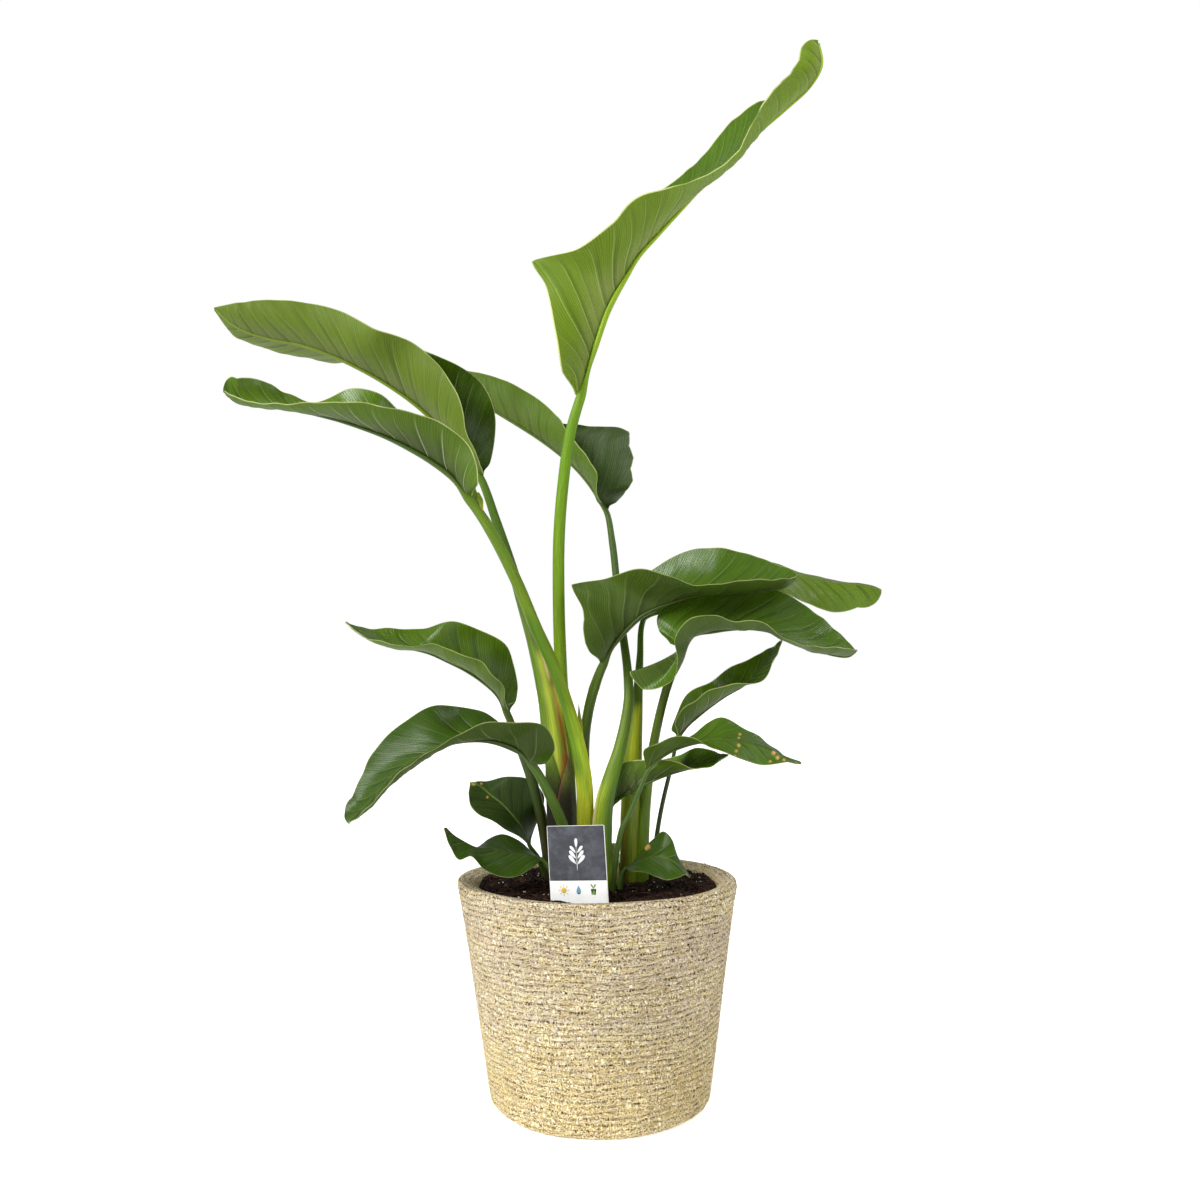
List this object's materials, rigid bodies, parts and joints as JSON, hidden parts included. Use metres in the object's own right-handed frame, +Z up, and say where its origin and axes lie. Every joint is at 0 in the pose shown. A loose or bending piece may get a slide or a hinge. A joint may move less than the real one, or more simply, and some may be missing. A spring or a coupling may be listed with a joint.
{
  "type": "potted bird of paradise",
  "caption": "Leafy bird of paradise plant in a nursery pot of dark soil, standing in a tapered round seagrass basket with a plain plant label.",
  "frame": {"origin": "middle of the basket's flat underside", "axes": "+Z up, the plant's front faces -Y, and +X is to the right of the picture"},
  "size_m": [0.5557, 0.2254, 0.874],
  "materials": {
    "seagrass": "matte",
    "pot_plastic": "matte",
    "peat": "matte",
    "label_card": "satin",
    "foliage": "satin",
    "old_sheath": "matte"
  },
  "bodies": {
    "root": {"basket": "seagrass", "grow_pot": "pot_plastic", "soil": "peat", "plant_label": "label_card", "leaf_top": "foliage", "leaf_upper_left": "foliage", "leaf_left": "foliage", "leaf_back": "foliage", "leaf_right": "foliage", "leaf_right_back": "foliage", "leaf_right_waved": "foliage", "leaf_mid_right": "foliage", "leaf_spotted": "foliage", "leaf_crossing": "foliage", "leaf_low_right": "foliage", "leaf_mid_left": "foliage", "leaf_arched_left": "foliage", "leaf_low_back": "foliage", "leaf_low_left": "foliage", "old_sheath_left": "old_sheath", "old_sheath_stub": "old_sheath"}
  },
  "joints": []
}
